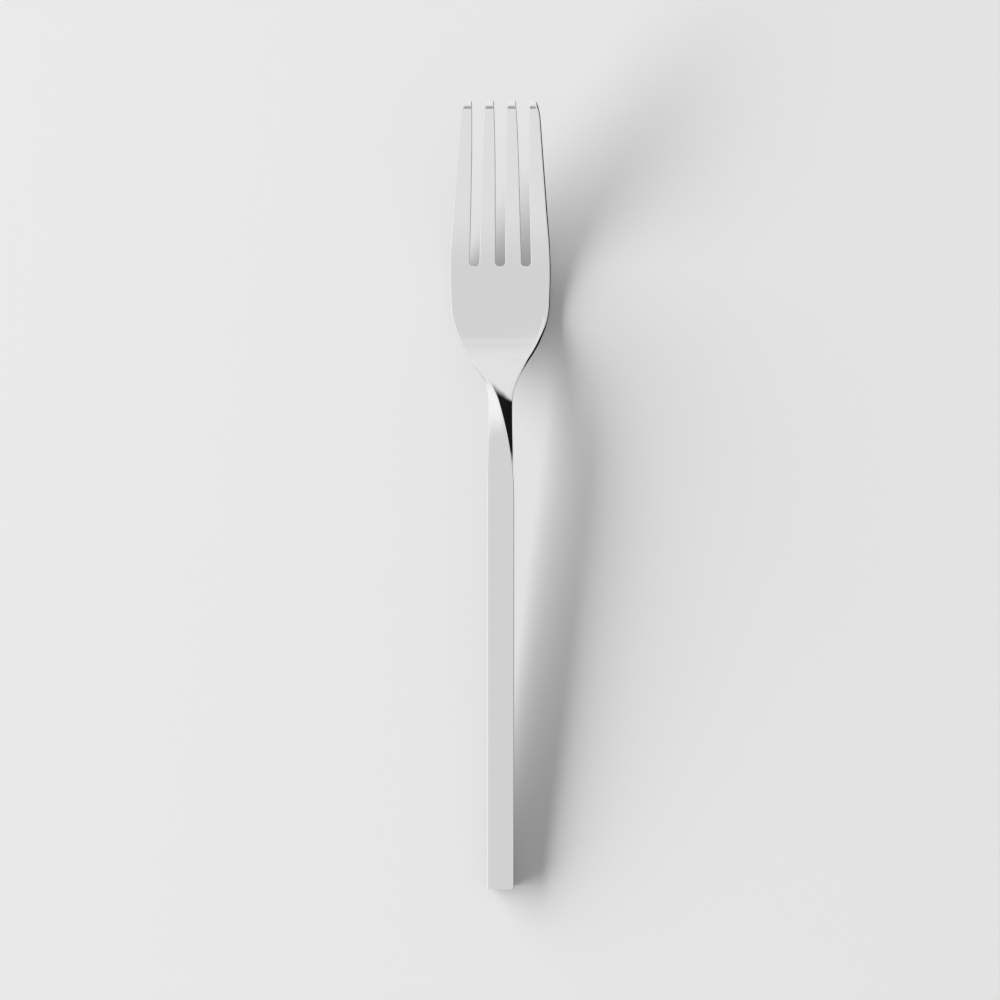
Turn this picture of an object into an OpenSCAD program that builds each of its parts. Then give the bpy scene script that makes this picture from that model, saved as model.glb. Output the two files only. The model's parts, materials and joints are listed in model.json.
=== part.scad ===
// Serving fork: forged head with a quarter-turn neck and a tang, held in a hollow bar handle.
// Millimetres. +Y runs to the tines, +Z is up. The belly and the tail rest on z = 0, and the
// origin is on that plane, under the middle of the fork. "Plan" lengths are seen from above.

/* [Tines and head] */
// Plan length from the belly line to the ends of the tines
tine_reach = 60.8; // [56:0.2:68]
// Greatest width of the head
head_w = 30.3; // [27:0.1:34]
// Plan distance from the belly line to the greatest width
wide_at = 15; // [12:0.5:18]
// Length of the rounding at the greatest width
wide_round = 1; // [0.4:0.2:2]
// Width over the outer tines at their ends, before the ends draw in
tip_span = 22.7; // [21:0.1:25]
// How much the outer tines draw in at their ends, beyond the straight taper
tip_draw = 0.9; // [0:0.1:1.2]
// Plan length over which they draw in
tip_draw_l = 5; // [3:0.5:8]
// Angle at which the sides draw in from the greatest width to the shoulders
side_draw = 2; // [0:0.5:4]
// Thickness of the head at the belly
belly_t = 2.8; // [2.2:0.1:3.4]
// Thickness of the heel where the neck starts to turn
heel_t = 3.2; // [2.8:0.1:3.6]
// Thickness of the tines at their ends
tip_t = 2.6; // [1.5:0.1:2.8]
// Radius of the upward curve from the belly to the tines
bowl_r = 52; // [44:1:64]
// Rise of the straight tines
tine_rise = 35.5; // [28:0.5:38]

/* [Slots] */
// Length of the slots, from the ends of the tines to the bottoms
slot_l = 47; // [42:0.2:54]
// Width of the slots
slot_w = 2.95; // [2.4:0.05:3.4]
// Radius of the corners at the slots' bottoms
slot_r = 1; // [0.5:0.1:1.1]
// Spacing of the slots at their bottoms
root_pitch = 7.8; // [7:0.1:8.6]
// Spacing of the slots at the ends of the tines
tip_pitch = 6.45; // [6:0.05:7.2]
// How much each side of a slot opens out towards the ends of the tines
tip_flare = 0.5; // [0.2:0.05:0.7]
// Plan length over which the slots open out
flare_l = 30; // [20:1:40]
// Radius of the corners at the ends of the tines, in plan
tip_r = 0.9; // [0.5:0.1:1.1]
// Angle of the sloped tip faces, from level
tip_slope = 40; // [34:1:50]

/* [Heel and neck] */
// Radius of the upward curve from the belly to the heel
heel_r = 18; // [14:1:24]
// Rise of the straight heel
heel_rise = 30; // [24:0.5:33]
// Plan length of the straight heel
heel_run = 8.2; // [6:0.2:11]
// Angle of the heel's straight sides to the length of the fork, in plan
heel_flare = 33; // [28:0.5:38]
// Plan distance from the belly line to where those sides would reach the neck
neck_at = 23; // [21:0.5:25]
// Width of the neck where it starts to turn
neck_w = 6.5; // [6:0.1:7.8]
// Length of the rounding where the sides turn in at the shoulders
shoulder_round = 5; // [3:0.2:7]
// Length of the rounding where the heel runs into the neck
neck_round = 3.4; // [2:0.2:5]
// Radius of the crown where the neck bends over
crown_r = 34; // [28:1:44]
// Length of the straight neck from the crown to the handle
neck_l = 20; // [14:0.2:26]
// Plan distance from the belly line to the start of the quarter turn
twist_at = 14.5; // [11.5:0.5:16]

/* [Handle] */
// Length of the handle from the shoulder to the tail
handle_l = 117.6; // [100:0.2:140]
// Width of the handle
handle_w = 8.2; // [7:0.1:10]
// Height of the handle
handle_h = 5.2; // [4.6:0.1:6.2]
// Radius of the long edges of head, neck and handle
edge_r = 0.35; // [0.2:0.05:0.6]
// Wall of the handle's half shells
shell_t = 0.8; // [0.6:0.1:1]
// Thickness of the closed tail
tail_t = 1.6; // [1:0.1:3]

/* [Tang] */
// Length of the tang behind the shoulder
tang_l = 46; // [30:1:60]
// Width of the tang
tang_w = 4; // [2.5:0.1:4.4]
// Height of the tang
tang_h = 1.9; // [1.2:0.1:2.1]
// Depth of cement beyond the end of the tang
cement_past = 8; // [4:1:20]
// Gap between the cement and the steel
cement_gap = 0.05; // [0.02:0.01:0.1]

/* [Hidden] */

$fn = 48;
// Overshoot of cutting bodies past the solid
over = 1;
// Quarter turn from head to handle
turn = 90;
// Share of the neck over which the turn gathers speed
turn_in = 0.05;
// Power by which the turn slows towards the handle
turn_out = 2.35;

// Side view. Heights are of the middle of the thickness, over the belly line.
bowl_end = bowl_r * sin(tine_rise);
heel_curve_end = heel_r * sin(heel_rise);
heel_end = heel_curve_end + heel_run;
heel_top = heel_r * (1 - cos(heel_rise)) + heel_run * tan(heel_rise);
crown_mid = heel_end + crown_r * sin(heel_rise);
crown_z = heel_top - crown_r * cos(heel_rise);
// Straight neck and handle, in line behind the crown
straight_l = neck_l + handle_l;
// Slope at which the handle's tail comes down to the plane that the belly rests on
tail_arm = norm([straight_l, crown_r - handle_h / 2]);
handle_slope = atan2(crown_r - handle_h / 2, straight_l) + asin((crown_z + belly_t / 2) / tail_arm);
crown_end = crown_mid + crown_r * sin(handle_slope);
crown_end_z = crown_z + crown_r * cos(handle_slope);
shoulder_at = crown_end + neck_l * cos(handle_slope);
shoulder_z = belly_t / 2 + crown_end_z - neck_l * sin(handle_slope);
tail_at = shoulder_at + handle_l * cos(handle_slope) + handle_h / 2 * sin(handle_slope);
// The belly line's place along Y, which puts the origin midway
belly_y = (tail_at - tine_reach) / 2;

// Height over the belly line at the plan distance p, plus towards the tines
function bowl_height(p) = p < bowl_end
    ? bowl_r * (1 - cos(asin(p / bowl_r)))
    : bowl_r * (1 - cos(tine_rise)) + (p - bowl_end) * tan(tine_rise);
function heel_height(d) = d < heel_curve_end
    ? heel_r * (1 - cos(asin(d / heel_r)))
    : d < heel_end
    ? heel_top - (heel_end - d) * tan(heel_rise)
    : d < crown_end
    ? crown_z + crown_r * cos(asin((crown_mid - d) / crown_r))
    : crown_end_z - (d - crown_end) * tan(handle_slope);
function spine_z(p) = belly_t / 2 + (p > 0 ? bowl_height(p) : heel_height(-p));

// Slope of the spine in degrees, plus where it rises towards the tines
function heel_slope(d) = d < heel_curve_end
    ? -asin(d / heel_r)
    : d < heel_end
    ? -heel_rise
    : d < crown_end ? -asin((crown_mid - d) / crown_r) : handle_slope;
function spine_slope(p) = p > 0 ? min(tine_rise, asin(min(1, p / bowl_r))) : heel_slope(-p);

// Smaller and larger of two values, rounded over the length k where they cross
function rounding(a, b, k) = k / 4 * pow(max(0, 1 - abs(a - b) / k), 2);
function soft_min(a, b, k) = min(a, b) - rounding(a, b, k);
function soft_max(a, b, k) = max(a, b) + rounding(a, b, k);

// How far a round corner of the tine's end draws in, at the distance d from the end
function corner(d) = d < tip_r ? tip_r - sqrt(max(0, tip_r * tip_r - pow(tip_r - d, 2))) : 0;

// Half the width of the head's face, from tines to neck
wide_half = head_w / 2 + rounding(0, 0, wide_round);
tine_draw = (wide_half - tip_span / 2) / (tine_reach - wide_at);
function tine_side(p) = tip_span / 2 + (tine_reach - p) * tine_draw;
function belly_side(p) = wide_half - (wide_at - p) * tan(side_draw);
function heel_side(p) = neck_w / 2 + (p + neck_at) * tan(heel_flare);
function blade_side(p) = soft_min(tine_side(p), belly_side(p), wide_round);
function head_side(p) = soft_min(blade_side(p), heel_side(p), shoulder_round);
function end_draw(d) = tip_draw * pow(max(0, 1 - d / tip_draw_l), 1.5) + corner(d);
function neck_side(p) = handle_h / 2 + (neck_w - handle_h) / 2 * (1 - eased(in_neck(p)));
function face_half(p) = soft_max(neck_side(p), head_side(p), neck_round) - end_draw(tine_reach - p);

// Place in the neck, 0 where the turn starts and 1 at the shoulder
function in_neck(p) = max(0, min(1, (-p - twist_at) / (shoulder_at - twist_at)));
function eased(q) = q * q * (3 - 2 * q);
function gathered(q) = q * q / (q + turn_in) * (1 + turn_in);
function twist(p) = turn * (1 - pow(1 - min(1, gathered(in_neck(p))), turn_out));
function thickness(p) = p > 0
    ? belly_t + (tip_t - belly_t) * p / tine_reach
    : belly_t + (heel_t - belly_t) * eased(min(1, -p / twist_at)) + (handle_w - heel_t) * eased(in_neck(p));

// Corner points of a section: a rectangle with round edges, counter-clockwise
edge_turns = [0, 45, 90];
function round_section(w, t, r) = [
    for (k = [0:3], e = edge_turns)
        let (sx = (k == 0 || k == 3) ? 1 : -1, sy = k < 2 ? 1 : -1, a = 90 * k + e)
        [sx * (w / 2 - r) + r * cos(a), sy * (t / 2 - r) + r * sin(a)]
];

// Lean of a section: square to the tines, upright in the heel, and square to the handle at the shoulder
function lean(p) = p > 0 ? spine_slope(p) : handle_slope * in_neck(p);

// A section's points in space, turned about the spine
function station(p) =
    let (f = lean(p), a = twist(p), stretch = 1 / cos(spine_slope(p) - f))
    [
        for (c = round_section(2 * face_half(p), thickness(p), edge_r))
            let (side = c[0] * cos(a) + c[1] * sin(a), up = stretch * (c[1] * cos(a) - c[0] * sin(a)))
            [side, belly_y + p - up * sin(f), spine_z(p) + up * cos(f)]
    ];

// Plan distances of the sections, from just past the tips to the shoulder
tip_steps = 5;
tine_step = 2;
neck_step = 1;
places = concat(
    [tine_reach + over],
    [for (i = [0:tip_steps]) tine_reach - tip_r * (1 - cos(90 * i / tip_steps))],
    [for (p = [tine_reach - tip_r - tine_step:-tine_step:0]) p],
    [for (p = [-neck_step / 2:-neck_step:neck_step - shoulder_at]) p],
    [-shoulder_at]
);

// Solid through all sections
module head_blank() {
    sections = [for (p = places) station(p)];
    n = len(sections[0]);
    last = len(sections) - 1;
    walls = [
        for (i = [0:last - 1], j = [0:n - 1])
            let (a = i * n + j, b = i * n + (j + 1) % n)
            each [[a, a + n, b], [b, a + n, b + n]]
    ];
    near = [for (j = [0:n - 1]) j];
    far = [for (j = [n - 1:-1:0]) last * n + j];
    polyhedron([for (s = sections) each s], concat(walls, [near, far]));
}

// Half the width of a slot, at the distance d from the ends of the tines
function slot_half(d) = slot_w / 2 + tip_flare * pow(max(0, 1 - d / flare_l), 3) + corner(max(0, d));
slot_steps = 12;
slot_root = slot_l - slot_r;
slot_places = concat(
    [for (i = [0:tip_steps]) tip_r * (1 - cos(90 * i / tip_steps))],
    [for (i = [1:slot_steps]) tip_r + (slot_root - tip_r) * i / slot_steps]
);

// Upright cut for one slot, k = -1, 0 or 1 across the head
module slot_cut(k) {
    mid = function (d) k * (tip_pitch + (root_pitch - tip_pitch) * d / slot_root);
    right = [for (d = slot_places) [mid(d) + slot_half(d), -d]];
    left = [for (i = [len(slot_places) - 1:-1:0]) let (d = slot_places[i]) [mid(d) - slot_half(d), -d]];
    mouth = slot_half(0);
    flat = slot_w / 2 - slot_r;
    translate([0, belly_y + tine_reach, -over])
        linear_extrude(spine_z(tine_reach) + belly_t + 2 * over) {
            polygon(concat([[mid(0) - mouth, 2 * over], [mid(0) + mouth, 2 * over]], right, left));
            translate([mid(slot_root) - flat, -slot_l]) square([2 * flat, slot_l / 2]);
            for (s = [-flat, flat]) translate([mid(slot_root) + s, -slot_root]) circle(slot_r);
        }
}

// Everything over the sloped faces at the ends of the tines
module tip_cut() {
    end = tine_reach - tip_t / 2 * sin(tine_rise);
    translate([0, belly_y + tine_reach, spine_z(end) - thickness(end) / 2 * cos(tine_rise)])
        rotate([-tip_slope, 0, 0])
            translate([-head_w / 2, -head_w / 2, 0])
                cube(head_w);
}

// Places things at the shoulder, with -Y along the handle
module at_shoulder() {
    translate([0, belly_y - shoulder_at, shoulder_z]) rotate([handle_slope, 0, 0]) children();
}

// Bar from the shoulder towards the tail, centred on the handle's axis
module along_handle(l) {
    rotate([90, 0, 0]) linear_extrude(l) children();
}

module rounded_rectangle(w, h, r) {
    square([w - 2 * r, h], center = true);
    square([w, h - 2 * r], center = true);
    for (x = [-1, 1], y = [-1, 1]) {
        translate([x * (w / 2 - r), y * (h / 2 - r)]) circle(r);
    }
}

// Half of the hollow bar, up = 1 for the upper half and -1 for the lower
module half_shell(up) {
    room_w = handle_w - 2 * shell_t;
    room_h = handle_h - 2 * shell_t;
    difference() {
        along_handle(handle_l)
            intersection() {
                rounded_rectangle(handle_w, handle_h, edge_r);
                translate([0, up * handle_h / 2]) square([handle_w, handle_h], center = true);
            }
        translate([0, over, 0])
            along_handle(handle_l - tail_t + over) square([room_w, room_h], center = true);
    }
}

module fork_head() {
    color("silver") {
        difference() {
            head_blank();
            for (k = [-1:1]) slot_cut(k);
            tip_cut();
        }
        at_shoulder()
            translate([0, over, 0])
                along_handle(tang_l + over) square([tang_w, tang_h], center = true);
    }
}

module handle_upper_shell() {
    color("silver") at_shoulder() half_shell(1);
}

module handle_lower_shell() {
    color("silver") at_shoulder() half_shell(-1);
}

module handle_filler() {
    filler_w = handle_w - 2 * (shell_t + cement_gap);
    filler_h = handle_h - 2 * (shell_t + cement_gap);
    color("dimgray") at_shoulder()
        translate([0, -cement_gap, 0])
            difference() {
                along_handle(tang_l + cement_past) square([filler_w, filler_h], center = true);
                translate([0, over, 0])
                    along_handle(tang_l + over)
                        square([tang_w + 2 * cement_gap, tang_h + 2 * cement_gap], center = true);
            }
}

fork_head();
handle_upper_shell();
handle_lower_shell();
handle_filler();
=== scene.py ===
import json
import math

import bmesh
import bpy
import numpy as np
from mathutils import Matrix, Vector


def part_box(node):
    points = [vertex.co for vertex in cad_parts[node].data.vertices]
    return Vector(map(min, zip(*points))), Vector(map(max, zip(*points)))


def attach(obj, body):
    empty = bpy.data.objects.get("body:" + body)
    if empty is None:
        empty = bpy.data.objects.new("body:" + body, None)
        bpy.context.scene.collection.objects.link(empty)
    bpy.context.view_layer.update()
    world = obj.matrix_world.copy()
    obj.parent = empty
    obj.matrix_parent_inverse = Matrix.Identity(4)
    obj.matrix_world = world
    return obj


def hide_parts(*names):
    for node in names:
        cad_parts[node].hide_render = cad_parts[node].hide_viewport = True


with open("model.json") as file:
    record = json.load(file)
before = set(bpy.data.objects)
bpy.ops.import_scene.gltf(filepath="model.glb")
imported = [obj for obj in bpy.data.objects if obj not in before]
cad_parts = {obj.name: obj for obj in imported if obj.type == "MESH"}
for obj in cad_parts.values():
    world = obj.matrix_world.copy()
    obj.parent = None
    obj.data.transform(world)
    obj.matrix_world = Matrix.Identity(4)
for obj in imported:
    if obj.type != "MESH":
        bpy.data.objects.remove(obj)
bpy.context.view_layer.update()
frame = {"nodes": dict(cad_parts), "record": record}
mm = 0.001
print("frame loaded")

# Places read from the frame, in millimetres
mounts = {m["name"]: m for m in frame["record"]["mounts"]}
barTop = np.array(mounts["handle_top"]["pos_m"]) / mm
barUnder = np.array(mounts["handle_underside"]["pos_m"]) / mm
barUp = np.array(mounts["handle_top"]["axis"])
barUp = barUp / np.linalg.norm(barUp)
barAlong = np.array([0, barUp[2], -barUp[1]])  # from the tail to the shoulder
barAcross = np.array([1, 0, 0])
barTilt = math.asin(barAlong[2])
barHeight = float(np.linalg.norm(barTop - barUnder))
shellLow, shellHigh = (np.array(v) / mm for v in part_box("handle_upper_shell"))
barWidth = float(shellHigh[0] - shellLow[0])
barLength = float(shellHigh[1] - shellLow[1] - barHeight / 2 * math.sin(barTilt)) / math.cos(barTilt)
shoulder = (barTop + barUnder) / 2 + barAlong * barLength / 2
headHigh = np.array(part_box("fork_head")[1]) / mm


# A colour's linear values from its sRGB hex text: a straight start, then the curve's power
def linear(hexText):
    part = np.array([int(hexText[i : i + 2], 16) for i in (1, 3, 5)]) / 255
    part = np.where(part <= 0.04045, part / 12.92, ((part + 0.055) / 1.055) ** 2.4)
    return (*(float(v) for v in part), 1.0)


# Adds a node, sets its properties, and fills its inputs with values or links
def addNode(tree, kind, settings={}, inputs={}):
    node = tree.nodes.new(kind)
    for name, value in settings.items():
        setattr(node, name, value)
    for name, value in inputs.items():
        if isinstance(value, bpy.types.NodeSocket):
            tree.links.new(value, node.inputs[name])
        else:
            node.inputs[name].default_value = value
    return node


# Starts a material with an empty node tree
def newMaterial(name):
    material = bpy.data.materials.new(name)
    material.use_nodes = True
    material.node_tree.nodes.clear()
    return material, material.node_tree


# Smoothstep of a share from 0 to 1
def eased(q):
    return q * q * (3 - 2 * q)


# Smaller and larger of two values, rounded over the length k where they cross
def softMin(a, b, k):
    return np.minimum(a, b) - k / 4 * np.maximum(0, 1 - np.abs(a - b) / k) ** 2


def softMax(a, b, k):
    return -softMin(-a, -b, k)


meshing = {"joinWithin": 1e-6, "sharpFrom": math.radians(40)}  # in metres and radians


# Closed piece from grids of points: neighbouring points make quads, shared borders are merged
def buildPiece(name, grids, node, material):
    points = np.concatenate([g.reshape(-1, 3) for g in grids]) * mm
    quads, start = [], 0
    for g in grids:
        index = start + np.arange(g.shape[0] * g.shape[1]).reshape(g.shape[:2])
        corners = [index[:-1, :-1], index[1:, :-1], index[1:, 1:], index[:-1, 1:]]
        quads.append(np.stack(corners, -1).reshape(-1, 4))
        start += index.size
    mesh = bpy.data.meshes.new(name)
    mesh.from_pydata(points.tolist(), [], np.concatenate(quads).tolist())
    work = bmesh.new()
    work.from_mesh(mesh)
    bmesh.ops.remove_doubles(work, verts=work.verts, dist=meshing["joinWithin"])
    bmesh.ops.recalc_face_normals(work, faces=work.faces)
    loose = sum(not e.is_manifold for e in work.edges)
    work.to_mesh(mesh)
    work.free()
    mesh.shade_smooth()
    mesh.set_sharp_from_angle(angle=meshing["sharpFrom"])
    mesh.materials.append(material)
    piece = bpy.data.objects.new(name, mesh)
    bpy.context.scene.collection.objects.link(piece)
    even = piece.modifiers.new("even shading", "WEIGHTED_NORMAL")
    even.keep_sharp = True
    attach(piece, "root")
    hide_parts(node)
    print(name, len(mesh.polygons), "faces,", loose, "open edges")
    return piece


# Flat sheet for the stage, one face from its four corners
def flatSheet(name, corners, material):
    mesh = bpy.data.meshes.new(name)
    mesh.from_pydata(corners, [], [(0, 1, 2, 3)])
    mesh.materials.append(material)
    sheet = bpy.data.objects.new(name, mesh)
    bpy.context.scene.collection.objects.link(sheet)
    return sheet


# Mirror-polished stainless steel: clear, bright reflections, a little softened along the buffing marks,
# which are drawn coarser than real ones
steelLook = {
    "colour": "#f5f5f6",
    "clearest": 0.035,
    "dullest": 0.075,
    "markApart": 0.12,
    "markLong": 6,
    "markDetail": 2.0,
    "noiseLow": 0.3,
    "noiseHigh": 0.7,
}
steel, tree = newMaterial("mirrorPolishedSteel")
coords = addNode(tree, "ShaderNodeTexCoord").outputs["Object"]
perMark = 1 / (steelLook["markApart"] * mm)
perLength = 1 / (steelLook["markLong"] * mm)
marks = addNode(
    tree, "ShaderNodeMapping", {}, {"Vector": coords, "Scale": (perMark, perLength, perMark)}
).outputs[0]
marks = addNode(
    tree, "ShaderNodeTexNoise", {}, {"Vector": marks, "Scale": 1.0, "Detail": steelLook["markDetail"]}
).outputs[0]
gloss = addNode(
    tree,
    "ShaderNodeMapRange",
    {},
    {
        "Value": marks,
        "From Min": steelLook["noiseLow"],
        "From Max": steelLook["noiseHigh"],
        "To Min": steelLook["clearest"],
        "To Max": steelLook["dullest"],
    },
).outputs[0]
metal = addNode(
    tree,
    "ShaderNodeBsdfPrincipled",
    {},
    {"Base Color": linear(steelLook["colour"]), "Metallic": 1.0, "Roughness": gloss},
).outputs[0]
addNode(tree, "ShaderNodeOutputMaterial", {}, {"Surface": metal})

# Cast resin cement: dull, dark grey, with a fine mineral grain
cementLook = {
    "dark": "#4a4845",
    "light": "#6b6863",
    "rough": 0.85,
    "grain": 0.4,
    "grainDetail": 4.0,
    "lumpHigh": 0.05,
    "lumpStrength": 0.4,
}
cement, tree = newMaterial("castResinCement")
coords = addNode(tree, "ShaderNodeTexCoord").outputs["Object"]
grain = addNode(
    tree,
    "ShaderNodeTexNoise",
    {},
    {"Vector": coords, "Scale": 1 / (cementLook["grain"] * mm), "Detail": cementLook["grainDetail"]},
).outputs[0]
tint = addNode(
    tree,
    "ShaderNodeMix",
    {"data_type": "RGBA"},
    {0: grain, 6: linear(cementLook["dark"]), 7: linear(cementLook["light"])},
).outputs[2]
lumps = addNode(
    tree,
    "ShaderNodeBump",
    {},
    {"Height": grain, "Strength": cementLook["lumpStrength"], "Distance": cementLook["lumpHigh"] * mm},
).outputs[0]
dull = addNode(
    tree,
    "ShaderNodeBsdfPrincipled",
    {},
    {"Base Color": tint, "Roughness": cementLook["rough"], "Normal": lumps},
).outputs[0]
addNode(tree, "ShaderNodeOutputMaterial", {}, {"Surface": dull})
print("materials made")

# Fork head in millimetres. Places along it are plan distances from the belly line
head = {
    "tines": 4,
    "reach": 60.8,  # from the belly line to the tips
    "width": 30.3,
    "wideAt": 15,  # the widest place
    "wideRound": 1,  # how softly the sides turn there
    "inset": 0.001,  # keeps the outline just inside the solid's own
    "tipSpan": 22.7,  # width over all tips
    "tipDraw": 0.9,  # how far the outer tines' ends draw in
    "tipDrawLong": 5,
    "tipDrawPower": 1.5,
    "sideDraw": math.radians(2),  # the sides' taper from the widest place to the heel
    "bellyThick": 2.8,
    "heelThick": 3.2,
    "tipThick": 2.6,
    "bowlRadius": 52,
    "tineRise": math.radians(35.5),
    "slotLong": 47,
    "slotWide": 2.95,
    "slotCorner": 1.35,
    "rootPitch": 7.8,  # from slot to slot at their roots
    "tipPitch": 6.45,  # and at the tips
    "tipFlare": 0.5,  # how far a slot's side opens at the tips
    "flareLong": 30,
    "tipCorner": 0.9,
    "tipSteep": 0.53,  # fall of the tip's face at its end
    "tipShallow": 0.3,  # and at its crease
    "tipFace": 2.74,
    "tipRound": 0.12,
    "noseLong": 3,  # how far before the crease the tip's face may round the top
    "heelRadius": 18,
    "heelRise": math.radians(30),
    "heelRun": 8.2,  # straight between the heel and the crown
    "sag": 0.19,
    "sagAt": 6.7,
    "sagLong": 10,
    "heelFlare": math.radians(33),  # angle of the heel's sides in plan
    "neckAt": 23,  # where those sides come down to the neck's width
    "neckWide": 6.5,
    "shoulderRound": 5,
    "neckRound": 3.4,
    "crownRadius": 34,
    "turnAt": 14.5,  # start of the quarter turn
    "turnIn": 0.05,  # length of its soft start, as a share of the neck
    "turnOut": 2.35,  # power of its slow end
    "tangLong": 46,
    "tangWide": 4,
    "tangHigh": 1.9,
    # Edges: their radii, and where along the head they change
    "rim": 1.2,
    "rimLess": 0.35,  # taken off the rim along the tines
    "rimLessFrom": 15,
    "rimLessLong": 40,
    "leftRim": 0.4,
    "slotRim": 0.35,
    "rimUnder": 0.35,
    "steepFrom": 2,  # behind the belly line the rim gets deeper
    "steepTo": 24,
    "steepEase": 6,
    "neckEdge": 0.3,
    "neckEdgeAt": 19.5,
    "neckEdgeEase": 6.5,
    "barEdge": 0.6,
    "barEdgeFrom": 44,
    "tipEdgeShare": 0.85,  # of the tip's corner
    "tipEdgeGain": 0.3,
    "thickShare": 0.45,  # of the thickness
    # Grids: numbers of points, and where their spacing changes
    "columns": 13,  # across a tine
    "cornerPoints": 9,
    "fineStep": 0.1,
    "fineLong": 4,
    "sidePoints": 64,
    "rootPoints": 11,  # an odd number, so that the root's arc halves
    "flatPoints": 7,
    "bodyPoints": (46, 100, 20),  # slots to heel, heel to neck's end, neck's end to shoulder
    "heelAt": 12,
    "neckEnd": 45,
    "evenLong": 6,  # rows lose the shape of the slot bottoms in this length
    "edgePoints": 7,
    "wallPoints": 6,
}
bellyY = headHigh[1] - head["reach"]
shoulderAt = bellyY - shoulder[1]
bowlEnd = head["bowlRadius"] * math.sin(head["tineRise"])
heelCurve = head["heelRadius"] * math.sin(head["heelRise"])
heelEnd = heelCurve + head["heelRun"]
heelTop = head["heelRadius"] * (1 - math.cos(head["heelRise"]))
heelTop = heelTop + head["heelRun"] * math.tan(head["heelRise"])
crownMid = heelEnd + head["crownRadius"] * math.sin(head["heelRise"])
crownLow = heelTop - head["crownRadius"] * math.cos(head["heelRise"])
crownEnd = crownMid + head["crownRadius"] * math.sin(barTilt)
slotRoot = head["slotLong"] - head["slotCorner"]
print("shoulder", round(shoulderAt, 3), "mm behind the belly")
print("bar", round(barLength, 2), "x", round(barWidth, 2), "x", round(barHeight, 2), "mm")


# Middle line in side view, p plus towards the tines. Ahead: a bowl arc into straight tines. Behind: a
# heel arc, a straight, a crown arc and the handle's straight. The heel sags by a slight squared sine,
# which the slope leaves out
def spine(p):
    bowl = np.arcsin(np.clip(p / head["bowlRadius"], 0, math.sin(head["tineRise"])))
    heel = np.arcsin(np.clip(-p / head["heelRadius"], 0, math.sin(head["heelRise"])))
    crown = (crownMid + p) / head["crownRadius"]
    crown = np.arcsin(np.clip(crown, -math.sin(barTilt), math.sin(head["heelRise"])))
    ahead = head["bowlRadius"] * (1 - np.cos(bowl))
    ahead = ahead + np.maximum(0, p - bowlEnd) * math.tan(head["tineRise"])
    behind = head["heelRadius"] * (1 - np.cos(heel))
    behind = behind + np.clip(-p - heelCurve, 0, head["heelRun"]) * math.tan(head["heelRise"])
    over = crownLow + head["crownRadius"] * np.cos(crown)
    over = over - np.maximum(0, -p - crownEnd) * math.tan(barTilt)
    sag = head["sag"] * np.sin(math.pi * np.clip((-p - head["sagAt"]) / head["sagLong"], 0, 1)) ** 2
    height = head["bellyThick"] / 2 + np.where(p > -heelEnd, ahead + behind, over) - sag
    return height, bowl - np.where(p > -heelEnd, heel, crown)


# Place in the neck, 0 where the quarter turn starts and 1 at the shoulder
def inNeck(p):
    return np.clip((-p - head["turnAt"]) / (shoulderAt - head["turnAt"]), 0, 1)


# Quarter turn: a soft start at the heel, then quick, slowing down to the handle by a power
def turnAngle(p):
    q = inNeck(p)
    gathered = np.minimum(1, q * q / (q + head["turnIn"]) * (1 + head["turnIn"]))
    return math.pi / 2 * (1 - (1 - gathered) ** head["turnOut"])


# Thickness: a straight taper along the tines, an eased growth from belly to heel to handle
def thickness(p):
    tines = head["bellyThick"] + (head["tipThick"] - head["bellyThick"]) * p / head["reach"]
    heel = (head["heelThick"] - head["bellyThick"]) * eased(np.clip(-p / head["turnAt"], 0, 1))
    neck = (barWidth - head["heelThick"]) * eased(inNeck(p))
    return np.where(p > 0, tines, head["bellyThick"] + heel + neck)


# Half the outline's width: straight tapers joined by soft minima, joined to the neck by a soft maximum,
# and drawn in by a power at the outer tines' ends
def outerHalf(p):
    wide = head["width"] / 2 + head["wideRound"] / 4
    ahead = head["reach"] - p
    taper = (wide - head["tipSpan"] / 2) / (head["reach"] - head["wideAt"])
    tines = head["tipSpan"] / 2 + ahead * taper
    belly = wide - (head["wideAt"] - p) * math.tan(head["sideDraw"])
    heel = head["neckWide"] / 2 + (p + head["neckAt"]) * math.tan(head["heelFlare"])
    blade = softMin(softMin(tines, belly, head["wideRound"]), heel, head["shoulderRound"])
    drawn = head["tipDraw"] * np.maximum(0, 1 - ahead / head["tipDrawLong"]) ** head["tipDrawPower"]
    neck = barHeight / 2 + (head["neckWide"] - barHeight) / 2 * (1 - eased(inNeck(p)))
    return softMax(neck, blade, head["neckRound"]) - drawn - head["inset"]


# Slot sides, d back from the tips: a straight middle line, a width that opens by a cube towards the
# tips, round corners at the root
def slotSide(k, sign, d):
    widening = (head["rootPitch"] - head["tipPitch"]) * np.minimum(d, slotRoot) / slotRoot
    middle = k * (head["tipPitch"] + widening)
    opened = head["tipFlare"] * np.maximum(0, 1 - d / head["flareLong"]) ** 3
    past = np.clip((d - slotRoot) / head["slotCorner"], 0, 1)
    closed = head["slotCorner"] * (1 - np.sqrt(1 - past**2))
    return middle + sign * (head["slotWide"] / 2 + opened - closed)


# Top face's height over the middle line: half the thickness, cut at the tip by a face that steepens evenly
def upTop(p):
    height, slope = spine(p)
    crease = np.array(head["reach"] - head["tipFace"])
    creaseHeight, creaseSlope = spine(crease)
    past = p - crease
    gain = (head["tipSteep"] - head["tipShallow"]) / head["tipFace"]
    cut = creaseHeight + thickness(crease) / 2 / np.cos(creaseSlope)
    cut = cut - head["tipShallow"] * past - gain / 2 * past * np.abs(past)
    top = height + thickness(p) / 2 / np.cos(slope)
    nose = (softMin(top, cut, head["tipRound"]) - height) * np.cos(slope)
    return np.where(past > -head["noseLong"], nose, thickness(p) / 2)


# Bottom face's height: half the thickness under the middle line
def upBottom(p):
    return -thickness(p) / 2


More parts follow.
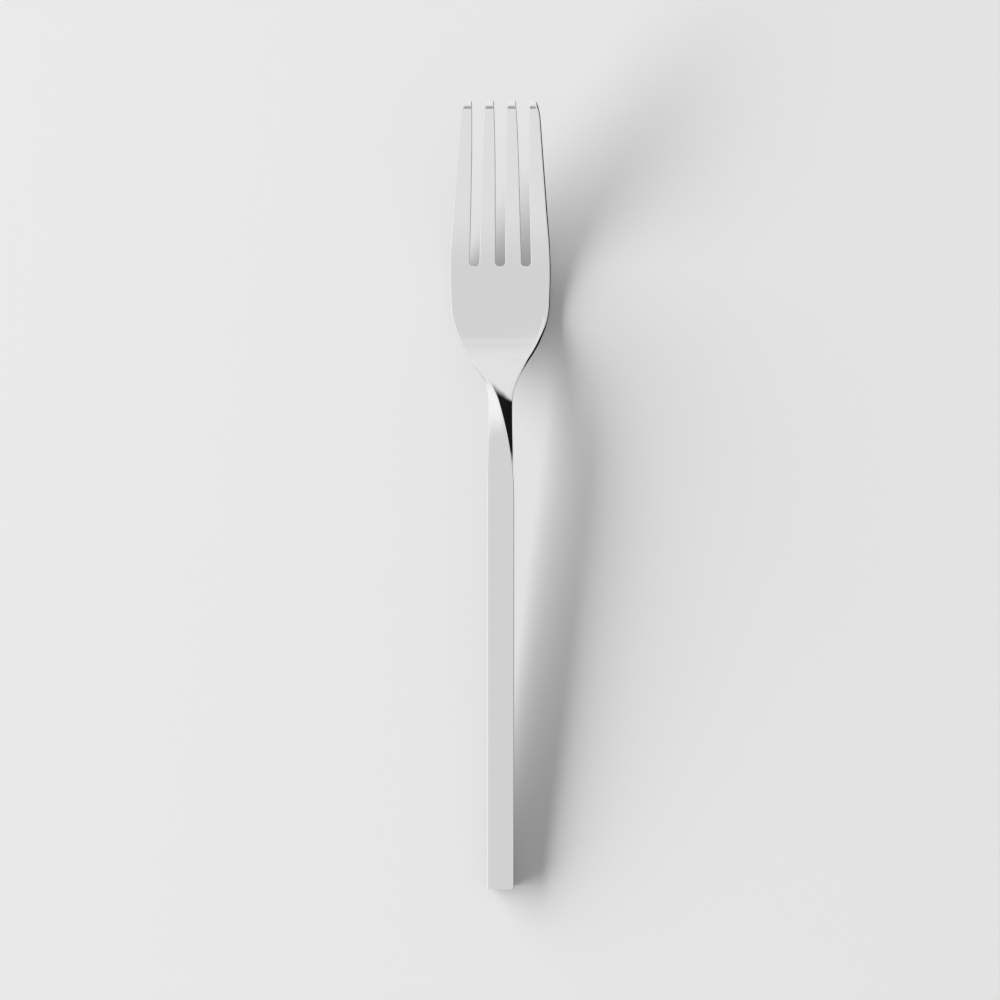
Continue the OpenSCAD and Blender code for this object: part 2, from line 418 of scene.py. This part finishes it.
# Section point in space: turned about the middle line, with the section upright in tines and heel and
# leaning to the handle's slope in the neck. Its rise is stretched, so that the thickness holds square
# to the line
def place(across, p, up):
    height, slope = spine(p)
    turn = turnAngle(p)
    tilt = barTilt * inNeck(p)
    side = across * np.cos(turn) + up * np.sin(turn)
    rise = (up * np.cos(turn) - across * np.sin(turn)) / np.cos(slope - tilt)
    return np.stack([side, bellyY + p - rise * np.sin(tilt), height + rise * np.cos(tilt)], -1)


# Radius of the edges: a blend from head to neck and from neck to bar, no more than a share of the
# thickness and no more than the tip's corners allow
def edgeRadius(p, wanted):
    fromNeck = eased(np.clip((p + head["neckEdgeAt"]) / head["neckEdgeEase"], 0, 1))
    toBar = eased(np.clip((-p - head["barEdgeFrom"]) / (shoulderAt - head["barEdgeFrom"]), 0, 1))
    radius = head["neckEdge"] + (wanted - head["neckEdge"]) * fromNeck
    radius = radius + (head["barEdge"] - head["neckEdge"]) * toBar
    behindCorner = np.maximum(0, head["reach"] - p - head["tipCorner"])
    room = head["tipEdgeShare"] * head["tipCorner"] + head["tipEdgeGain"] * behindCorner
    return np.minimum(np.minimum(radius, head["thickShare"] * (upTop(p) - upBottom(p))), room)


# Side of a tine, from its tip back to the slot's root: corner, fine steps, even steps, root arc
tineColumns = np.linspace(0, 1, head["columns"])
cornerTurn = np.radians(np.linspace(90, 0, head["cornerPoints"]))
cornerOff = head["tipCorner"] * (1 - np.sin(cornerTurn))
cornerIn = head["tipCorner"] * (1 - np.cos(cornerTurn))
fineOff = np.arange(head["tipCorner"] + head["fineStep"], head["fineLong"], head["fineStep"])
straightOff = np.linspace(head["fineLong"], slotRoot, head["sidePoints"])
rootTurn = np.radians(np.linspace(0, 90, head["rootPoints"]))[1:]
sideTurn, slotTurn = np.split(rootTurn, 2)
rootOff = slotRoot + head["slotCorner"] * np.sin(sideTurn)
sideOff = np.concatenate([cornerOff, fineOff, straightOff, rootOff])
sideIn = np.concatenate([cornerIn, np.zeros(len(sideOff) - len(cornerIn))])
sideP = head["reach"] - sideOff

# Bottom of a slot: the rest of the root arc, a short flat, and the arc on the other side
slotFlat = head["slotWide"] / 2 - head["slotCorner"]
slotArc = slotFlat + head["slotCorner"] * np.cos(slotTurn)
flatX = np.linspace(-slotFlat, slotFlat, head["flatPoints"])[1:-1]
slotX = np.concatenate([-slotArc, flatX, slotArc[::-1]])
slotDeep = np.concatenate([np.sin(slotTurn), np.ones(len(flatX)), np.sin(slotTurn)[::-1]])
slotOff = slotRoot + head["slotCorner"] * slotDeep

# Plan outline, one open path from the left shoulder round all tines to the right shoulder
bodyStops = (sideP[-1], -head["heelAt"], -head["neckEnd"], -shoulderAt)
bodyRuns = zip(bodyStops, bodyStops[1:], head["bodyPoints"])
bodyP = np.concatenate([np.linspace(start, end, count)[1:] for start, end, count in bodyRuns])
lastTine = head["tines"] - 1
slotPlace = np.arange(lastTine) - (lastTine - 1) / 2  # counted from the middle of the head
stretches = [np.stack([-outerHalf(bodyP), bodyP], -1)[::-1]]
for k in range(head["tines"]):
    leftX = -outerHalf(sideP) if k == 0 else slotSide(slotPlace[k - 1], 1, sideOff)
    rightX = outerHalf(sideP) if k == lastTine else slotSide(slotPlace[k], -1, sideOff)
    left = np.stack([leftX + sideIn, sideP], -1)
    right = np.stack([rightX - sideIn, sideP], -1)
    stretches += [left[::-1], left[0] + (right[0] - left[0]) * tineColumns[1:-1, None], right]
    if k < lastTine:
        stretches.append(np.stack([slotPlace[k] * head["rootPitch"] + slotX, head["reach"] - slotOff], -1))
stretches.append(np.stack([outerHalf(bodyP), bodyP], -1))
tineStretches = 4  # left side, end, right side and slot bottom
path = np.concatenate(stretches)
cuts = np.cumsum([len(s) for s in stretches])[:-1]

# Inward direction: square to the mean of the two neighbouring steps
steps = np.diff(path, axis=0)
steps = steps / np.linalg.norm(steps, axis=1, keepdims=True)
heading = np.concatenate([steps[:1], steps]) + np.concatenate([steps, steps[-1:]])
heading = heading / np.linalg.norm(heading, axis=1, keepdims=True)
inward = np.stack([heading[:, 1], -heading[:, 0]], -1)


# Face inside the outline: each tine is ruled from side to side, and the body's rows start along the
# slot bottoms and even out by a square
def faceGrids(inset, upFace):
    parts = np.split(inset, cuts)
    grids, firstRow = [], []
    for k in range(head["tines"]):
        at = 1 + k * tineStretches
        left, ends, right = parts[at][::-1], parts[at + 1], parts[at + 2]
        rows = left[:, None] + (right - left)[:, None] * tineColumns[None, :, None]
        rows[0, 1:-1] = ends
        grids.append(rows)
        firstRow.append(rows[-1])
        if k < lastTine:
            firstRow.append(parts[at + 3])
    first = np.concatenate(firstRow)
    left = np.concatenate([first[:1], parts[0][::-1]])
    right = np.concatenate([first[-1:], parts[-1]])
    share = (first[:, 0] - first[0, 0]) / (first[-1, 0] - first[0, 0])
    fade = np.clip(1 - (first[0, 1] - left[:, 1]) / head["evenLong"], 0, 1) ** 2
    rows = left[:, None] + (right - left)[:, None] * share[None, :, None]
    straight = first[0, 1] + (first[-1, 1] - first[0, 1]) * share
    rows[..., 1] += (first[:, 1] - straight) * fade[:, None]
    grids.append(rows)
    return [place(g[..., 0], g[..., 1], upFace(g[..., 1])) for g in grids], share


# Radii round the outline: wide on the right and less along the tines, thin on the left and in the slots.
# At the heel the rim drops up to twice as deep as it is wide
pathP = path[:, 1]
outerSides = (0, 1, len(stretches) - 2, len(stretches) - 1)  # the body's and the outer tines'
outer = np.concatenate([np.full(len(s), i in outerSides) for i, s in enumerate(stretches)])
rimLess = head["rimLess"] * np.clip((pathP - head["rimLessFrom"]) / head["rimLessLong"], 0, 1)
outerRim = np.where(path[:, 0] > 0, head["rim"] - rimLess, head["leftRim"])
topR = edgeRadius(pathP, np.where(outer, outerRim, head["slotRim"]))
bottomR = edgeRadius(pathP, head["rimUnder"])
behindBelly = eased(np.clip((-pathP - head["steepFrom"]) / head["steepEase"], 0, 1))
beforeNeck = eased(np.clip((pathP + head["steepTo"]) / head["steepEase"], 0, 1))
steeper = 1 + behindBelly * beforeNeck

# Rim round the whole outline: quarter-round, wall, quarter-round
edgeTurn = np.linspace(0, math.pi / 2, head["edgePoints"])
wallShare = np.linspace(0, 1, head["wallPoints"])[1:-1]
topIn = topR[:, None] * (1 - np.sin(edgeTurn))
topDrop = (topR * steeper)[:, None] * (1 - np.cos(edgeTurn))
lowIn = bottomR[:, None] * (1 - np.sin(edgeTurn))
lowLift = bottomR[:, None] * (1 - np.cos(edgeTurn))
topPlan = path[:, None] + inward[:, None] * topIn[..., None]
lowPlan = path[:, None] + inward[:, None] * lowIn[..., None]
topUp = upTop(topPlan[..., 1]) - topDrop
lowUp = upBottom(lowPlan[..., 1]) + lowLift
wallUp = topUp[:, -1:] + (lowUp[:, -1:] - topUp[:, -1:]) * wallShare
wallPlan = np.repeat(path[:, None], len(wallShare), 1)
rimPlan = np.concatenate([topPlan, wallPlan, lowPlan[:, ::-1]], 1)
rimUp = np.concatenate([topUp, wallUp, lowUp[:, ::-1]], 1)
rimGrid = place(rimPlan[..., 0], rimPlan[..., 1], rimUp)
topGrids, topShare = faceGrids(topPlan[:, 0], upTop)
lowGrids, lowShare = faceGrids(lowPlan[:, 0], upBottom)

# Shoulder face and tang: the end section's loop, shrunk to the tang and drawn back into the handle
topEnd = topPlan[0, 0, 0] + (topPlan[-1, 0, 0] - topPlan[0, 0, 0]) * topShare
lowEnd = lowPlan[0, 0, 0] + (lowPlan[-1, 0, 0] - lowPlan[0, 0, 0]) * lowShare
loopAcross = np.concatenate([rimPlan[0, :, 0], lowEnd, rimPlan[-1, ::-1, 0], topEnd[::-1]])
loopUp = np.concatenate(
    [rimUp[0], np.full(len(lowEnd), rimUp[0, -1]), rimUp[-1, ::-1], np.full(len(topEnd), rimUp[0, 0])]
)
loopAt = np.full(len(loopUp), -shoulderAt)
shoulderLoop = place(loopAcross, loopAt, loopUp)
tangLoop = place(loopAcross * head["tangHigh"] / barHeight, loopAt, loopUp * head["tangWide"] / barWidth)
tangEnd = tangLoop - barAlong * head["tangLong"]
tangMid = np.broadcast_to(tangEnd.mean(0), tangEnd.shape)
tangGrid = np.stack([shoulderLoop, tangLoop, tangEnd, tangMid])
forkHead = buildPiece(
    "forkHead", [rimGrid, *topGrids, *lowGrids, tangGrid], "fork_head", steel
)
forkHead.visible_glossy = False  # its faces mirror the studio alone, as in the photo

# Handle shells: an outer U with round edges and an inner U clipped to the hollow, drawn from mouth to tail
shell = {
    "edge": head["barEdge"],
    "wall": 0.8,
    "tail": 1.6,
    "tailEdge": 0.25,
    "flatPoints": 5,
    "rows": 30,
    "tailRows": 6,
}
roundX = barWidth / 2 - shell["edge"] * (1 - np.cos(edgeTurn))
roundV = barHeight / 2 - shell["edge"] * (1 - np.sin(edgeTurn))
halfFlat = np.linspace(roundX[-1], 0, shell["flatPoints"])[1:]
outerX = np.concatenate([[barWidth / 2], roundX, halfFlat])
outerV = np.concatenate([[0], roundV, np.full(len(halfFlat), barHeight / 2)])
outerX = np.concatenate([-outerX, outerX[-2::-1]])
outerV = np.concatenate([outerV, outerV[-2::-1]])
innerX = np.clip(outerX, shell["wall"] - barWidth / 2, barWidth / 2 - shell["wall"])[::-1]
innerV = np.minimum(outerV, barHeight / 2 - shell["wall"])[::-1]

# Rows along the handle: the hollow stretch, its closed end, and the round edge of the tail
roomEnd = barLength - shell["tail"]
tailTurn = np.linspace(0, math.pi / 2, shell["tailRows"])
tailIn = shell["tailEdge"] * (1 - np.cos(tailTurn))
tailAlong = barLength - shell["tailEdge"] * (1 - np.sin(tailTurn))
alongs = np.concatenate([np.linspace(0, roomEnd, shell["rows"]), [roomEnd], tailAlong])
hollow = np.where(np.arange(len(alongs)) < shell["rows"], 1.0, 0.0)
shrink = np.concatenate([np.zeros(len(alongs) - len(tailIn)), tailIn])
ringX = outerX * (1 - shrink[:, None] * 2 / barWidth)
ringV = outerV * (1 - shrink[:, None] * 2 / barHeight)
coreX = np.broadcast_to(innerX, ringX.shape)
coreV = innerV * hollow[:, None]
loopX = np.concatenate([ringX, coreX, ringX[:, :1]], 1)
loopV = np.concatenate([ringV, coreV, ringV[:, :1]], 1)
ringPoints = len(outerX)
for sign, name, node in (
    (1, "handleUpperShell", "handle_upper_shell"),
    (-1, "handleLowerShell", "handle_lower_shell"),
):
    spot = shoulder - alongs[:, None, None] * barAlong + sign * loopV[..., None] * barUp
    spot = spot + loopX[..., None] * barAcross
    mouth = np.stack([spot[0, :ringPoints], spot[0, ringPoints : 2 * ringPoints][::-1]])
    tail = np.stack([spot[-1, :ringPoints], spot[-1, ringPoints : 2 * ringPoints][::-1]])
    buildPiece(name, [spot, mouth, tail], node, steel)
frame["nodes"]["handle_filler"].data.materials.clear()
frame["nodes"]["handle_filler"].data.materials.append(cement)
print("fork built")

# Floor: matt white paper, unseen by the steel so that its sides mirror the studio
floorLook = {"colour": "#e6e6e6", "half": 8}  # in metres
paper, tree = newMaterial("mattPaper")
matt = addNode(tree, "ShaderNodeBsdfDiffuse", {}, {"Color": linear(floorLook["colour"])}).outputs[0]
addNode(tree, "ShaderNodeOutputMaterial", {}, {"Surface": matt})
half = floorLook["half"]
floor = flatSheet("floor", [(-half, -half, 0), (half, -half, 0), (half, half, 0), (-half, half, 0)], paper)
floor.visible_glossy = False

# Settings of the nodes that follow
smooth = {"interpolation_type": "SMOOTHSTEP"}
larger = {"operation": "MAXIMUM"}
plus = {"operation": "ADD"}
less = {"operation": "SUBTRACT"}
times = {"operation": "MULTIPLY"}
timesPlus = {"operation": "MULTIPLY_ADD"}
below = {"operation": "LESS_THAN"}

# Glowing card ahead of the tips, no lamp and seen only in the steel near it: a painted reflection, pale
# below and grey above, that draws the dark creases at the ends of the tines.
# Millimetres from the head's farthest and highest places
card = {
    "half": 15,
    "ahead": 12,
    "low": 4,
    "high": 28,
    "paleTo": 9,
    "greyFrom": 15.5,
    "pale": 0.9,
    "grey": 0.29,
    "near": 60,  # steel farther off sees through it
}
grey, tree = newMaterial("paintedReflectionCard")
coords = addNode(tree, "ShaderNodeTexCoord").outputs["Object"]
level = addNode(tree, "ShaderNodeSeparateXYZ", {}, {0: coords}).outputs[2]
# Painted shade of the reflection: the glow fades from pale to grey with height alone, not with any light
shade = addNode(
    tree,
    "ShaderNodeMapRange",
    smooth,
    {
        "Value": level,
        "From Min": (headHigh[2] + card["paleTo"]) * mm,
        "From Max": (headHigh[2] + card["greyFrom"]) * mm,
        "To Min": card["pale"],
        "To Max": card["grey"],
    },
).outputs[0]
glow = addNode(tree, "ShaderNodeEmission", {}, {"Color": (1, 1, 1, 1), "Strength": shade}).outputs[0]
away = addNode(tree, "ShaderNodeLightPath").outputs["Ray Length"]
fromTips = addNode(tree, "ShaderNodeMath", below, {0: away, 1: card["near"] * mm}).outputs[0]
clear = addNode(tree, "ShaderNodeBsdfTransparent").outputs[0]
nearGlow = addNode(tree, "ShaderNodeMixShader", {}, {0: fromTips, 1: clear, 2: glow}).outputs[0]
addNode(tree, "ShaderNodeOutputMaterial", {}, {"Surface": nearGlow})
half = card["half"] * mm
cardY = (headHigh[1] + card["ahead"]) * mm
cardLow = (headHigh[2] + card["low"]) * mm
cardHigh = (headHigh[2] + card["high"]) * mm
paintedReflectionCard = flatSheet(
    "paintedReflectionCard",
    [(-half, cardY, cardLow), (half, cardY, cardLow), (half, cardY, cardHigh), (-half, cardY, cardHigh)],
    grey,
)
paintedReflectionCard.visible_camera = False
paintedReflectionCard.visible_diffuse = False
paintedReflectionCard.visible_shadow = False

# Studio round the fork: bright to the left, fair ahead and behind, dark low on the right.
# Places in it are parts of a direction: x to the right, y to the tines, z up
studio = {
    "overhead": 0.7,
    "left": 0.28,
    "leftFrom": -0.45,
    "leftTo": -1.0,
    "ahead": 0.125,
    "aheadFrom": 0.08,
    "aheadTo": 0.32,
    "lowFrom": 0.385,
    "lowTo": 0.66,
    "rightFrom": 0.01,
    "rightLow": 30.0,
    "behind": 0.108,
    "behindFrom": -0.45,
    "behindTo": -1.05,
    "darkest": 0.012,
    "edgeBeside": -0.155,
    "edgeAhead": 0.13,
    "edgeTo": 0.45,
    "dropFrom": 0.73,
    "drop": 0.17,
    "softFrom": 0.1,
    "softTo": 0.45,
    "softBeside": -0.045,
    "softAhead": -0.2,
    "softAbove": 0.045,
    "lean": 0.35,
    "darkFrom": 0.05,
    "darkTo": 0.3,
    "fill": 0.37,
    "backdrop": "#e6e6e6",
}
world = bpy.data.worlds.new("studio")
bpy.context.scene.world = world
world.use_nodes = True
tree = world.node_tree
tree.nodes.clear()
look = addNode(tree, "ShaderNodeTexCoord").outputs["Generated"]
axes = addNode(tree, "ShaderNodeSeparateXYZ", {}, {0: look}).outputs

# Bright sides: the largest of three gains, added to the light overhead. The one ahead is for low
# directions, and a turn to the right counts as low
offRight = addNode(tree, "ShaderNodeMath", less, {0: axes[0], 1: studio["rightFrom"]}).outputs[0]
rightward = addNode(tree, "ShaderNodeMath", larger, {0: offRight, 1: 0.0}).outputs[0]
lowness = addNode(tree, "ShaderNodeMath", less, {0: 1.0, 1: axes[2]}).outputs[0]
lowness = addNode(
    tree, "ShaderNodeMath", timesPlus, {0: rightward, 1: studio["rightLow"], 2: lowness}
).outputs[0]
inFront = addNode(
    tree,
    "ShaderNodeMapRange",
    smooth,
    {
        "Value": axes[1],
        "From Min": studio["aheadFrom"],
        "From Max": studio["aheadTo"],
        "To Max": studio["ahead"],
    },
).outputs[0]
gains = 0.0
for axis, low, high, gain in (
    (axes[0], studio["leftFrom"], studio["leftTo"], studio["left"]),
    (lowness, studio["lowFrom"], studio["lowTo"], inFront),
    (axes[1], studio["behindFrom"], studio["behindTo"], studio["behind"]),
):
    part = addNode(
        tree,
        "ShaderNodeMapRange",
        smooth,
        {"Value": axis, "From Min": low, "From Max": high, "To Max": gain},
    ).outputs[0]
    gains = addNode(tree, "ShaderNodeMath", larger, {0: part, 1: gains}).outputs[0]
bright = addNode(tree, "ShaderNodeMath", plus, {0: gains, 1: studio["overhead"]}).outputs[0]

# Dark field on the right: its upper edge climbs from the side to the front and drops straight ahead,
# and the edge is soft, more so ahead. The field sets in between darkFrom and darkTo in x, and ahead
# the lean moves that to the right
edge = addNode(
    tree,
    "ShaderNodeMapRange",
    {},
    {
        "Value": axes[1],
        "From Max": studio["edgeTo"],
        "To Min": studio["edgeBeside"],
        "To Max": studio["edgeAhead"],
    },
).outputs[0]
drop = addNode(
    tree,
    "ShaderNodeMapRange",
    {},
    {"Value": axes[1], "From Min": studio["dropFrom"], "To Max": studio["drop"]},
).outputs[0]
edge = addNode(tree, "ShaderNodeMath", less, {0: edge, 1: drop}).outputs[0]
lifted = addNode(tree, "ShaderNodeMath", less, {0: axes[2], 1: edge}).outputs[0]
deep = addNode(
    tree,
    "ShaderNodeMapRange",
    {},
    {
        "Value": axes[1],
        "From Min": studio["softFrom"],
        "From Max": studio["softTo"],
        "To Min": studio["softBeside"],
        "To Max": studio["softAhead"],
    },
).outputs[0]
overEdge = addNode(
    tree,
    "ShaderNodeMapRange",
    smooth,
    {"Value": lifted, "From Min": deep, "From Max": studio["softAbove"], "To Min": studio["darkest"]},
).outputs[0]
forward = addNode(tree, "ShaderNodeMath", larger, {0: axes[1], 1: 0.0}).outputs[0]
sideways = addNode(
    tree, "ShaderNodeMath", timesPlus, {0: forward, 1: -studio["lean"], 2: axes[0]}
).outputs[0]
notRight = addNode(
    tree,
    "ShaderNodeMapRange",
    smooth,
    {"Value": sideways, "From Min": studio["darkTo"], "From Max": studio["darkFrom"]},
).outputs[0]
clearRight = addNode(tree, "ShaderNodeMath", larger, {0: overEdge, 1: notRight}).outputs[0]
bright = addNode(tree, "ShaderNodeMath", times, {0: bright, 1: clearRight}).outputs[0]

# Steel mirrors the studio, the camera sees a plain backdrop, and all else gets an even fill
rays = addNode(tree, "ShaderNodeLightPath").outputs
mirrored = addNode(tree, "ShaderNodeBackground", {}, {"Color": bright, "Strength": 1.0}).outputs[0]
fill = addNode(
    tree, "ShaderNodeBackground", {}, {"Color": (1, 1, 1, 1), "Strength": studio["fill"]}
).outputs[0]
seen = addNode(
    tree, "ShaderNodeBackground", {}, {"Color": linear(studio["backdrop"]), "Strength": 1.0}
).outputs[0]
halfBounce = 0.5  # under it, the ray has met no matt surface before
direct = addNode(tree, "ShaderNodeMath", below, {0: rays["Diffuse Depth"], 1: halfBounce}).outputs[0]
direct = addNode(tree, "ShaderNodeMath", times, {0: direct, 1: rays["Is Glossy Ray"]}).outputs[0]
lit = addNode(tree, "ShaderNodeMixShader", {}, {0: direct, 1: fill, 2: mirrored}).outputs[0]
shown = addNode(tree, "ShaderNodeMixShader", {}, {0: rays["Is Camera Ray"], 1: lit, 2: seen}).outputs[0]
addNode(tree, "ShaderNodeOutputWorld", {}, {"Surface": shown})

# Key lamp: a wide upright soft box at the left, in metres and watts
key = {"far": 6, "ahead": 2.7, "wide": 14, "low": 0.45, "high": 3.72, "power": 1570}
lampData = bpy.data.lights.new("softBox", "AREA")
lampData.shape = "RECTANGLE"
lampData.size = key["wide"]
lampData.size_y = key["high"] - key["low"]
lampData.energy = key["power"]
lamp = bpy.data.objects.new("softBox", lampData)
bpy.context.scene.collection.objects.link(lamp)
lamp.location = (-key["far"], key["ahead"], (key["low"] + key["high"]) / 2)
lamp.rotation_euler = (math.pi / 2, 0, -math.pi / 2)
lamp.visible_glossy = False

# Camera straight above, as in the photo, in millimetres apart from its far clip in metres
lens = {"focal": 120, "sensor": 36, "farClip": 20, "height": 1010.7, "x": -0.12, "y": -0.03}
cameraData = bpy.data.cameras.new("camera")
cameraData.lens = lens["focal"]
cameraData.sensor_width = lens["sensor"]
cameraData.clip_end = lens["farClip"]
camera = bpy.data.objects.new("camera", cameraData)
camera.location = (lens["x"] * mm, lens["y"] * mm, lens["height"] * mm)
bpy.context.scene.collection.objects.link(camera)
bpy.context.scene.camera = camera
bpy.context.scene.view_settings.view_transform = "Standard"
print("studio set")
